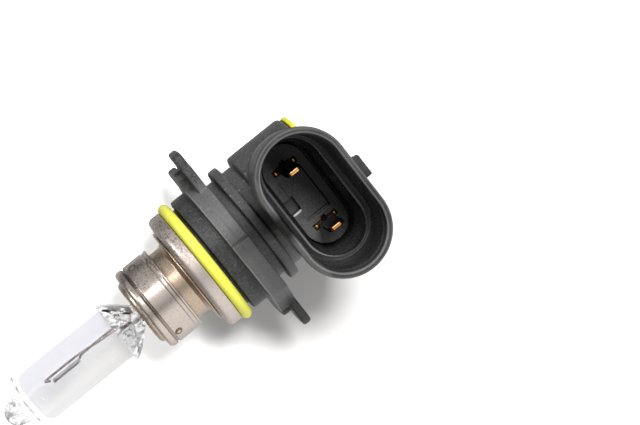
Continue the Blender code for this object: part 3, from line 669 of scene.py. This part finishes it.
def glass_outside():
    nub = [(0.02, 0.3), (0.15, 0.85), (0.4, 1.3), (0.8, 1.68), (1.3, 1.95), (1.9, 2.1), (2.5, 2.16),
           (3.0, 2.24), (3.4, 2.45), (3.7, 2.8), (3.96, 3.3)]
    sections = [(NUB_FRONT + reach, radius) for reach, radius in nub]
    sections += shoulder(TUBE_FRONT, TUBE_RADIUS, 1.3)
    sections += [(station, TUBE_RADIUS) for station in (-36, -34, -32, -30, -28, -26, -24, -22.5, -21.8)]
    rings = [(station, radius, 4 * TUBE_RADIUS) for station, radius in sections]
    steps = 16
    for step in range(steps + 1):
        part = step / steps
        rings.append((blend(-21.3, -17.6, part), blend(TUBE_RADIUS, PINCH_RADIUS, part),
                      blend(1.05 * TUBE_RADIUS, PINCH_HALF, part ** 0.85)))
    for station, scale in ((-17.2, 1), (-16, 1), (-14, 1), (-12, 1), (-10, 1), (-9.3, 1), (-9, 0.96)):
        rings.append((station, PINCH_RADIUS * scale, PINCH_HALF * scale))
    return [pinched_ring(*ring) for ring in rings]


def glass_inside():
    radius = TUBE_RADIUS - TUBE_WALL
    front = TUBE_FRONT + TUBE_WALL
    sections = [(front - 0.25, 0.4), (front - 0.12, 1.1)] + shoulder(front, radius, 1.5)
    sections += [(station, radius) for station in (-34, -30, -26, -23, -22)]
    rings = [(station, across, 4 * radius) for station, across in sections]
    steps = 10
    for step in range(steps + 1):
        part = step / steps
        rings.append((blend(-21.6, -18.9, part), blend(radius, 0.93 * radius, part),
                      blend(1.05 * radius, 0.22, part)))
    return [pinched_ring(*ring) for ring in rings]


def make_glass():
    glass = lofted("capsule_glass", glass_outside(), glass_inside())
    glass.data.set_sharp_from_angle(angle=math.radians(70))
    for point in glass.data.vertices:
        x, y, z = point.co / MM
        wave = noise.noise(Vector((x, y, z)) / 3.5) * 0.05
        if x > -22:
            wave += noise.noise(Vector((x * 1.6, y, z)) / 0.9) * 0.1
        if x < TUBE_FRONT - 0.5:
            wave += noise.noise(Vector((x, y, z)) / 0.8) * 0.08
        point.co += Vector((0, y, z)).normalized() * wave * MM
    glass.data.update()
    glass.visible_shadow = False
    dress(glass, thin_quartz("quartz_wall"), "quartz_glass", "glass_envelope")
    glass.data.materials.append(quartz("quartz_glass"))
    for face in glass.data.polygons:
        if not NUB_REAR <= face.center.x / MM <= WEDGE_FRONT:
            face.material_index = 1


# ---- filament and leads

def make_filament(tungsten):
    start = FILAMENT_CENTRE - FILAMENT_LENGTH / 2
    per_turn = 16
    total = 25 * per_turn
    radius = 0.36
    middle = 0.3
    points = []
    for step in range(total + 1):
        angle = 2 * math.pi * step / per_turn
        points.append((start + FILAMENT_LENGTH * step / total, middle + radius * math.cos(angle),
                       radius * math.sin(angle)))
    coil = tube("filament", points, 0.062, sides=8)
    dress(coil, tungsten, "tungsten", "filament_coil")


def make_supports(metal):
    front = FILAMENT_CENTRE - FILAMENT_LENGTH / 2
    rear = FILAMENT_CENTRE + FILAMENT_LENGTH / 2
    foot = -15.8
    cavity = -18.8
    long_stops = [
        (foot, 0, -LEAD_SPREAD),
        (cavity, 0, -LEAD_SPREAD),
        (cavity - 2, 0.15, -LEAD_SPREAD),
        (cavity - 6, 0.45, -1.4),
        (rear + 0.2, 0.95, -1.0),
        (front - 0.5, 0.95, -1.0),
        (front - 0.9, 0.8, -0.6),
        (front - 0.4, 0.62, -0.2),
    ]
    short_stops = [
        (foot, 0, LEAD_SPREAD),
        (cavity, 0, LEAD_SPREAD),
        (cavity - 1.6, 0.3, LEAD_SPREAD),
        (cavity - 2.8, 1.05, 1.2),
        (cavity - 7, 1.1, 1.2),
        (rear + 0.8, 0.95, 0.9),
        (rear + 0.3, 0.5, 0.2),
    ]
    for label, stops in (("long", long_stops), ("short", short_stops)):
        wire = tube("support_" + label, smooth_route(stops), 0.2)
        dress(wire, metal, "molybdenum", "support_wire_" + label)


# ---- metal parts

def dents(size, depth, seed):
    """A wobble for turned parts: shallow hand-pressed unevenness."""
    def wobble(station, radius, angle):
        spot = Vector((station / size, radius * math.sin(angle) / size + seed,
                       radius * math.cos(angle) / size))
        return station, radius + noise.noise(spot) * depth
    return wobble


def make_holder(metal):
    front = HOLDER_FRONT
    inner = HOLDER_RADIUS - SHEET
    holder = turned("holder_cup", [
        (front, 0, 0),
        (front, HOLDER_RADIUS - 1.6, 0.3),
        (front, HOLDER_RADIUS, 0.8),
        (-8.1, HOLDER_RADIUS, 0),
        (-8.1, inner, 0),
        (front + SHEET, inner, 0.45),
        (front + SHEET, 0, 0),
    ], closed=False)
    half = PINCH_HALF + 0.2
    slot = block("cut_slot", (front - 1, -half, -PINCH_RADIUS - 0.1),
                 (front + 2 * SHEET, half, PINCH_RADIUS + 0.1))
    combine(holder, [slot], "DIFFERENCE")
    finish_mesh(holder.data)
    dress(holder, metal, "plated_steel", "capsule_holder")


def make_collar(metal):
    front, rear = COLLAR_FRONT, COLLAR_REAR
    inner = COLLAR_RADIUS - 0.4
    out = COLLAR_RADIUS
    collar = turned("focus_cup", [
        (front, HOLDER_RADIUS + 0.2, 0.06),
        (front, out, 0.72),
        (-15.35, out, 0.22),
        (-15.12, out - 0.3, 0.06),
        (-14.98, out - 0.3, 0.06),
        (-14.8, out, 0.1),
        (rear - 1.15, out, 0.25),
        (rear - 0.95, out - 0.15, 0.12),
        (rear - 0.5, out - 0.15, 0.12),
        (rear - 0.32, out, 0.12),
        (rear, out, 0.14),
        (rear, SLEEVE_RADIUS + 0.12, 0),
        (rear - 0.4, SLEEVE_RADIUS + 0.12, 0),
        (rear - 0.4, inner, 0),
        (front + 0.4, inner, 0.3),
        (front + 0.4, HOLDER_RADIUS + 0.2, 0),
    ], steps=180, wobble=dents(2.2, 0.035, 3.0))
    dress(collar, metal, "plated_steel", "focus_collar")


def make_sleeve(metal):
    inner = SLEEVE_RADIUS - SHEET
    rear = DISC_FRONT - 0.1
    front = rear - 0.3
    sleeve = turned("flange_tube", [
        (-11.6, SLEEVE_RADIUS, 0.08),
        (front - 0.55, SLEEVE_RADIUS, 0.2),
        (front, SLEEVE_RADIUS + 0.45, 0.3),
        (front, 8.4, 0.13),
        (rear, 8.4, 0.1),
        (rear, inner, 0.3),
        (-11.6, inner, 0),
    ], wobble=dents(2.6, 0.03, 8.0))
    dress(sleeve, metal, "plated_steel", "flange_sleeve")


def make_disc(metal):
    wall = 0.5
    hole = 5.5
    disc = turned("flange_cap", [
        (DISC_FRONT, hole, 0),
        (DISC_FRONT, 8.75, 0.3),
        (DISC_FRONT + 0.12, 9.0, 0.3),
        (DISC_FRONT + 0.1, DISC_RADIUS, 0.95),
        (DISC_REAR, DISC_RADIUS, 0.2),
        (DISC_REAR, DISC_RADIUS - wall, 0),
        (DISC_FRONT + wall, DISC_RADIUS - wall, 0.3),
        (DISC_FRONT + wall, hole, 0),
    ], steps=192, wobble=dents(3.2, 0.04, 5.0))
    dress(disc, metal, "plated_steel", "flange_disc")


def make_welds(metal, bright):
    """Laser weld spots: a raised, browned ring round a small bright crater."""
    profile = [(0.05, 0.06), (0.2, 0.07), (0.3, 0.1), (0.38, 0.14), (0.46, 0.155), (0.55, 0.13),
               (0.62, 0.07), (0.65, 0.03), (0.6, 0), (0.1, 0)]
    crater = 0.32
    lift = 0.02
    count = 40
    along = Vector((1, 0, 0))
    for label, station, degrees in (("top", -13.6, 71.5), ("side", -14.1, -43.0), ("under", -13.8, -165.0)):
        angle = math.radians(degrees)
        out = Vector((0, math.sin(angle), math.cos(angle)))
        centre = along * station + out * COLLAR_RADIUS
        work = bmesh.new()
        rings = []
        for reach, height in profile:
            ring = []
            for step in range(count):
                turn = 2 * math.pi * step / count
                ragged = 1 + 0.1 * noise.noise(Vector((math.cos(turn) * 1.7, math.sin(turn) * 1.7, degrees)))
                side = reach * ragged * math.sin(turn)
                fall = COLLAR_RADIUS - math.sqrt(COLLAR_RADIUS ** 2 - side ** 2)
                point = centre + along * (reach * ragged * math.cos(turn)) + out.cross(along) * side
                ring.append(corner(work, *(point + out * (lift + height - fall))))
            rings.append(ring)
        skin(work, rings)
        weld = from_work("weld_" + label, work)
        dress(weld, metal, "plated_steel", "weld_spot_" + label)
        weld.data.materials.append(bright)
        for face in weld.data.polygons:
            if (face.center / MM - centre).length < crater:
                face.material_index = 1


# ---- seal

def make_ring(rubber):
    """A round section with a thin moulding flash on its crown."""
    section = 0.9
    steps = 36
    corners = []
    for step in range(steps):
        turn = 2 * math.pi * step / steps
        height = section + (0.02 if step == steps / 4 else 0)
        corners.append((RING_CENTRE - section * math.cos(turn),
                        RING_RADIUS - section + height * math.sin(turn), 0))
    ring = turned("seal_ring", corners, steps=192, wobble=dents(4, 0.03, 2.0))
    dress(ring, rubber, "yellow_silicone", "o_ring")


def make_plug(rubber):
    face = BODY_REAR + 0.1
    end = BODY_REAR + 0.9
    plug = turned("rear_seal", [
        (BODY_REAR - 0.9, 0, 0),
        (BODY_REAR - 0.9, 6.5, 0.2),
        (face, 6.5, 0),
        (face, PLUG_RADIUS, 0.2),
        (end, PLUG_RADIUS, 0.35),
        (end, 8.2, 0.2),
        (end - 0.35, 7.9, 0.15),
        (end - 0.35, 2.2, 0.15),
        (end - 0.05, 1.9, 0.15),
        (end - 0.05, 0, 0),
    ], closed=False, wobble=dents(3, 0.03, 6.0))
    dress(plug, rubber, "yellow_silicone", "rear_plug")


# ---- base

def base_core():
    spigot = DISC_RADIUS - 0.7
    groove = 9.25
    boss_front = -2.7
    return turned("base", [
        (DISC_FRONT + 0.65, 0, 0),
        (DISC_FRONT + 0.65, spigot, 0.3),
        (DISC_REAR, spigot, 0),
        (DISC_REAR, groove, 0),
        (boss_front, groove, 0),
        (boss_front, BOSS_RADIUS, 0.25),
        (0.5 * LAYER, BOSS_RADIUS, 0),
        (0.5 * LAYER, NECK_RADIUS, 0),
        (4.7, NECK_RADIUS, 0.15),
        (4.7, RIB_RADIUS, 0.25),
        (6.3, RIB_RADIUS, 0.25),
        (6.3, NECK_RADIUS, 0.15),
        (BODY_FRONT, NECK_RADIUS, 0.2),
        (BODY_FRONT, BODY_RADIUS, 0.5),
        (BODY_REAR, BODY_RADIUS, 0.9),
        (BODY_REAR, 0, 0),
    ], closed=False)


def circle(radius, count=TURN_STEPS):
    angles = [2 * math.pi * (index + 0.5) / count for index in range(count)]
    return [(radius * math.cos(angle), radius * math.sin(angle)) for angle in angles]


def flange_layer(label, front, rear, hub, reach, lug_low, lug_high, rounding):
    """One plate of the flange: round hub, flat ramp towards the camera side, side lugs and lower lug."""
    level = hub - 0.06
    flat = [(-12.8, 0), (1.2, 0), (1.2, level), (-8.7, level), (-12.8, 5.6)]
    sides = fillet([(-reach, lug_low, rounding), (reach, lug_low, rounding),
                    (reach, lug_high, rounding), (-reach, lug_high, rounding)])
    half = 4
    lower = fillet([(-half, -reach, rounding), (half, -reach, rounding), (half, 0, 0), (-half, 0, 0)])
    middle = (front + rear) / 2
    pieces = []
    for index, (kind, outline, bevel) in enumerate((("hub", circle(hub), 0), ("flat", flat, 0.12),
                                                    ("sides", sides, 0.4), ("lower", lower, 0))):
        thickness = rear - front - 0.04 * index
        pieces.append(prism("add_" + kind + label, outline, thickness,
                            lambda a, b, height: (middle + height, a, b), bevel))
    return pieces


def shroud_outside():
    """From its root in the rear body, flaring a little, to the bead round its mouth."""
    wall_x = RIM_HALF_X - 0.35
    wall_y = RIM_HALF_Y - 0.35
    body_x = (BODY_FRONT + BODY_REAR) / 2
    root_x = (BODY_REAR - BODY_FRONT) / 2 - 0.25
    bead = RIM_TOP - 1.7
    taper = 0.7
    root = [
        (root_x, 9.2, 2.0),
        (root_x, 9.9, 6.0),
        (root_x, 10.6, PLUG_RADIUS + 0.2),
    ]
    wall = [
        (wall_x, wall_y - taper, 13.8),
        (wall_x, wall_y, bead - 0.2),
        (wall_x + 0.1, wall_y + 0.1, bead),
        (RIM_HALF_X, RIM_HALF_Y, bead + 0.35),
        (RIM_HALF_X, RIM_HALF_Y, RIM_TOP - 0.45),
        (RIM_HALF_X - 0.08, RIM_HALF_Y - 0.08, RIM_TOP - 0.2),
        (RIM_HALF_X - 0.3, RIM_HALF_Y - 0.3, RIM_TOP),
    ]
    rings = [stadium(body_x, *section) for section in root]
    rings.append(stadium(SHROUD_X - 0.1, wall_x - 0.3, wall_y - 0.3 - taper, 12.6))
    rings += [stadium(SHROUD_X, *section) for section in wall]
    return lofted("add_shroud", rings)


def latch_tab():
    root = SHROUD_X + RIM_HALF_X - 0.85
    face = SHROUD_X + RIM_HALF_X + 1.4
    outline = [(root, 16.2), (face, 19.2), (face, 20.8), (face - 0.2, 21.0),
               (root, 21.0)]
    return prism("add_latch", outline, 3.5, lambda a, b, height: (a, height, b))


def base_cutters():
    bore = turned("cut_bore", [
        (DISC_FRONT - 1, 0, 0),
        (DISC_FRONT - 1, 5.2, 0),
        (9.5, 5.2, 0),
        (9.5, 6.6, 0),
        (BODY_REAR + 1, 6.6, 0),
        (BODY_REAR + 1, 0, 0),
    ], closed=False)
    mouth = stadium_solid("cut_mouth", SHROUD_X, [
        (MOUTH_HALF_X - 0.35, MOUTH_HALF_Y - 0.45, LEDGE_HEIGHT),
        (MOUTH_HALF_X - 0.12, MOUTH_HALF_Y - 0.12, RIM_TOP - 1.5),
        (MOUTH_HALF_X + 0.12, MOUTH_HALF_Y + 0.12, RIM_TOP - 1.35),
        (MOUTH_HALF_X + 0.15, MOUTH_HALF_Y + 0.15, RIM_TOP - 0.3),
        (MOUTH_HALF_X + 0.6, MOUTH_HALF_Y + 0.6, RIM_TOP + 0.15),
    ])
    low_x = INSERT_HALF_X + 0.3
    low_y = INSERT_HALF_Y + 0.4
    well = stadium_solid("cut_well", SHROUD_X + 0.1, [
        (low_x, low_y, 7.0),
        (low_x + 0.1, low_y + 0.1, LEDGE_HEIGHT - 3.2),
        (4.7, 10.0, LEDGE_HEIGHT - 1.8),
        (4.7, 10.0, LEDGE_HEIGHT + 1),
    ])
    pocket = stadium_solid("cut_pocket", SHROUD_X, [
        (INSERT_HALF_X + 0.1, INSERT_HALF_Y + 0.1, INSERT_BOTTOM - 0.1),
        (INSERT_HALF_X + 0.1, INSERT_HALF_Y + 0.1, 8.0),
    ])
    window = block("cut_window", (SHROUD_X - 2.6, -6.3, 0),
                   (SHROUD_X + 2.6, 6.3, INSERT_BOTTOM + 0.5))
    return [bore, mouth, well, pocket, window]


def rounded(item, voxel, passes):
    """Melt a sharp solid into an even, dense mesh with soft edges, as a moulding has."""
    net = item.modifiers.new("net", "REMESH")
    net.mode = "VOXEL"
    net.voxel_size = voxel * MM
    net.use_smooth_shade = True
    ease = item.modifiers.new("ease", "SMOOTH")
    ease.factor = 0.5
    ease.iterations = passes
    settle(item)
    item.data.shade_smooth()


def make_base(plastic):
    base = base_core()
    added = flange_layer("_front", 0, LAYER + 0.05, 11.9, 14.2, -5.0, 4.0, 1.4)
    added += flange_layer("_rear", LAYER, FLANGE_REAR, 12.0, 16.9, -0.6, 6.5, 1.6)
    added += [shroud_outside(), latch_tab()]
    added.append(block("add_web", (LAYER + 0.03, 8, 2), (FLANGE_REAR - 0.03, 14.3, 6.8)))
    combine(base, added, "UNION")
    seam = block("cut_seam", (-0.5, 0.98, 11.55), (FLANGE_REAR + 0.3, 1.38, 13))
    combine(base, [seam] + base_cutters(), "DIFFERENCE")
    base.name = "base_moulding"
    rounded(base, BASE_VOXEL, 5)
    dress(base, plastic, "black_plastic", "base_housing")


def make_insert(plastic, ridge_highlight):
    """The connector's floor: its slots, a shallow recess, a notch with a ridge that carries a painted
    highlight, and a step.
    """
    sections = [(INSERT_HALF_X, INSERT_HALF_Y, height) for height in (INSERT_BOTTOM, INSERT_TOP)]
    insert = stadium_solid("insert", SHROUD_X, sections)
    above = INSERT_TOP + 1
    left = SHROUD_X - INSERT_HALF_X
    strip = left + 1.35
    cutters = [
        block("cut_middle", (strip, -3.8, INSERT_TOP - 0.5), (strip + 4.4, 3.9, above)),
        block("cut_notch", (left - 1, -1.55, INSERT_TOP - 1.8), (strip + 0.5, 0.9, above + 0.2)),
        block("cut_step", (strip + 0.2, -3.85, INSERT_TOP - 0.7), (strip + 4.2, -3.45, above + 0.1)),
    ]
    slot_x = 2.15
    slot_y = 0.5
    key_x = 0.4
    for side, label in ((1, "left"), (-1, "right")):
        middle = side * BLADE_PITCH / 2
        cutters.append(block("cut_slot_" + label,
                             (SHROUD_X - slot_x, middle - slot_y, INSERT_BOTTOM - 1),
                             (SHROUD_X + slot_x, middle + slot_y, above + 0.4)))
        cutters.append(block("cut_key_" + label,
                             (SHROUD_X - key_x, middle, INSERT_TOP - 1.2),
                             (SHROUD_X + key_x, middle + slot_y + 0.45, above + 0.6)))
    combine(insert, cutters, "DIFFERENCE")
    low, high = -1.8, -1.55
    ridge = block("add_ridge", (left + 0.1, low, INSERT_TOP - 0.3), (strip + 0.4, high, INSERT_TOP + 0.02))
    combine(insert, [ridge], "UNION")
    insert.name = "socket_floor"
    rounded(insert, INSERT_VOXEL, 3)
    dress(insert, plastic, "black_plastic", "terminal_insert")
    # The ridge's top faces take a pale material, a painted highlight
    insert.data.materials.append(ridge_highlight)
    for face in insert.data.polygons:
        x, y, z = face.center / MM
        if left + 0.15 < x < strip + 0.35 and low - 0.06 < y < high + 0.05 and z > INSERT_TOP - 0.12:
            face.material_index = 1


def make_blades(alloy):
    half = [(1.0, 0.8), (1.0, 5.4), (2.05, 5.9), (2.05, 8.8), (1.4, 8.8), (1.4, 16.5), (0.825, 17.6)]
    outline = [(SHROUD_X + across, height) for across, height in half]
    outline += [(SHROUD_X - across, height) for across, height in reversed(half)]
    for side, label in ((1, "left"), (-1, "right")):
        middle = side * BLADE_PITCH / 2
        blade = prism("blade_" + label, outline, BLADE_THICKNESS,
                      lambda a, b, height, middle=middle: (a, middle + height, b), bevel=0.26)
        dress(blade, alloy, "copper_alloy", "terminal_blade_" + label)


# ---- stage, light and camera

def make_floor():
    low = cad_box[0].z - 0.15 * MM
    work = bmesh.new()
    bmesh.ops.create_grid(work, x_segments=8, y_segments=8, size=1.5)
    floor = from_work("floor", work)
    floor.location = (0, 0, low)
    floor.data.materials.append(floor_paper("floor_paper"))
    floor.visible_diffuse = False
    floor.visible_glossy = False
    return floor


def area_light(name, direction, size, power, diffuse=True, glossy=True, lit=None):
    """A square or oblong lamp that faces the bulb. lit limits it to some objects; all still cast shadows."""
    data = bpy.data.lights.new(name, "AREA")
    data.shape = "RECTANGLE"
    data.size, data.size_y = size
    data.energy = power
    item = put(name, data)
    way = Vector(direction).normalized()
    item.location = way * LIGHT_DISTANCE
    item.rotation_euler = way.to_track_quat("Z", "Y").to_euler()
    item.visible_diffuse = diffuse
    item.visible_transmission = diffuse
    item.visible_glossy = glossy
    if lit:
        receivers = bpy.data.collections.new("lit_by_" + name)
        for target in lit:
            receivers.objects.link(target)
        item.light_linking.receiver_collection = receivers


def make_world():
    """A soft studio: one set of levels above the horizon and one below, each running along Y."""
    world = bpy.data.worlds.new("studio")
    bpy.context.scene.world = world
    world.use_nodes = True
    tree = world.node_tree
    back = tree.nodes["Background"]
    place = tree.nodes.new("ShaderNodeTexCoord")
    split = tree.nodes.new("ShaderNodeSeparateXYZ")
    tree.links.new(place.outputs["Generated"], split.inputs["Vector"])

    def ranged(axis, *numbers):
        made = tree.nodes.new("ShaderNodeMapRange")
        for socket, number in zip(("From Min", "From Max", "To Min", "To Max"), numbers):
            made.inputs[socket].default_value = number
        tree.links.new(split.outputs[axis], made.inputs["Value"])
        return made.outputs["Result"]

    def levels(stops):
        ramp = tree.nodes.new("ShaderNodeValToRGB")
        tree.links.new(along, ramp.inputs["Fac"])
        entries = ramp.color_ramp.elements
        while len(entries) < len(stops):
            entries.new(0.5)
        for entry, (position, level) in zip(entries, stops):
            entry.position = (position + 1) / 2
            entry.color = (level, level, level, 1)
        return ramp.outputs["Color"]

    along = ranged("Y", -1.0, 1.0, 0.0, 1.0)
    above = levels(((-1.0, 0.92), (-0.76, 1.0), (-0.5, 0.9), (-0.34, 0.6), (-0.18, 0.28), (0.0, 0.5),
                    (0.2, 0.8), (0.76, 0.62), (0.94, 0.45), (1.0, 0.45)))
    below = levels(((-1.0, 0.95), (-0.94, 0.88), (-0.77, 0.68), (-0.5, 0.56), (-0.17, 0.5), (0.17, 0.5),
                    (0.5, 0.5), (0.77, 0.22), (0.94, 0.18), (1.0, 0.45)))
    halves = tree.nodes.new("ShaderNodeMix")
    halves.data_type = "RGBA"
    tree.links.new(ranged("Z", -0.08, 0.04, 0.0, 1.0), halves.inputs[0])
    tree.links.new(below, halves.inputs[6])
    tree.links.new(above, halves.inputs[7])
    tree.links.new(halves.outputs[2], back.inputs["Color"])
    tree.links.new(ranged("X", -0.95, -0.4, 0.35, 1.1), back.inputs["Strength"])


def make_camera():
    data = bpy.data.cameras.new("camera")
    data.lens = CAMERA_LENS
    data.sensor_width = 36.0
    data.clip_start = 0.01
    data.clip_end = 20.0
    camera = put("camera", data)
    camera.location = CAMERA_PLACE
    camera.rotation_euler = [math.radians(angle) for angle in CAMERA_TURN]
    bpy.context.scene.camera = camera


# ---- build

def main():
    nickel = plated_steel("plated_nickel", (0.62, 0.55, 0.495), (0.69, 0.59, 0.525), 0.24)
    warm = plated_steel("plated_nickel_warm", (0.55, 0.44, 0.33), (0.62, 0.48, 0.36), 0.28)
    disc = plated_steel("plated_nickel_disc", (0.68, 0.605, 0.555), (0.72, 0.62, 0.565), 0.42, blotch=1.5)
    weld = bare_metal("weld_metal", (0.34, 0.28, 0.21), (0.16, 0.12, 0.085), 0.35)
    molybdenum = bare_metal("molybdenum_wire", (0.52, 0.47, 0.45), (0.26, 0.22, 0.21), 0.28)
    tungsten = bare_metal("tungsten_wire", (0.6, 0.6, 0.6), (0.34, 0.34, 0.34), 0.3)
    # The blades' faces are painted dark between their shoulders and tips, a painted reflection of the dark
    # socket
    alloy = bare_metal("copper_alloy", (1.0, 0.6, 0.2), (0.7, 0.27, 0.1), 0.2,
                       size=0.4, painted_dark_band=(8.9, 17.0, (0.05, 0.025, 0.02)))
    plastic = black_plastic("black_nylon")
    insert_plastic = black_plastic("black_nylon_insert", tone=2.3, depth=0.0, even=1.0)
    ridge_highlight = silicone("rubbed_nylon", (0.85, 0.85, 0.85), (0.7, 0.7, 0.7), 0.3)
    ring = silicone("yellow_seal", (0.96, 0.95, 0.12), (0.93, 0.91, 0.09))
    plug = silicone("yellow_plug", (0.86, 0.84, 0.05), (0.8, 0.74, 0.03), 0.5)
    make_glass()
    make_filament(tungsten)
    make_supports(molybdenum)
    make_holder(warm)
    make_collar(nickel)
    make_sleeve(warm)
    make_disc(disc)
    make_welds(weld, nickel)
    make_ring(ring)
    make_plug(plug)
    make_base(plastic)
    make_insert(insert_plastic, ridge_highlight)
    make_blades(alloy)
    hidden = {"seal_foil": (molybdenum, "molybdenum"), "outer_lead": (molybdenum, "molybdenum"),
              "pinch_clip": (warm, "spring_steel"), "lead_crimp": (alloy, "copper_alloy")}
    for name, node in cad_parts.items():
        for start, (material, slot) in hidden.items():
            if name.startswith(start):
                node.data.materials.clear()
                node.data.materials.append(material)
    floor = make_floor()
    make_world()
    pieces = [item for item in bpy.data.objects if item.type == "MESH" and item is not floor]
    mouldings = [bpy.data.objects[name] for name in ("base_moulding", "socket_floor")]
    area_light("key", (0.36, 0.45, 0.816), (0.25, 0.25), 4.0, glossy=False, lit=pieces)
    area_light("floor_key", (0.2, 0.26, 0.945), (0.12, 0.12), 9.0, glossy=False, lit=[floor])
    area_light("floor_fill", (-0.35, 0.65, 0.68), (0.2, 0.2), 7.0, glossy=False, lit=[floor])
    area_light("card", (0.08, 0.54, 0.84), (0.5, 0.22), 0.86, diffuse=False)
    area_light("side_card", (-0.5, 0.75, 0.43), (0.25, 0.25), 1.5, diffuse=False)
    area_light("fill", (0.1, -0.55, 0.83), (0.3, 0.3), 0.9, glossy=False, lit=mouldings)
    area_light("sheen", (0.08, 0.54, 0.84), (0.5, 0.3), 2.2, diffuse=False, lit=mouldings)
    make_camera()


main()
bpy.context.scene.view_settings.view_transform = "Standard"
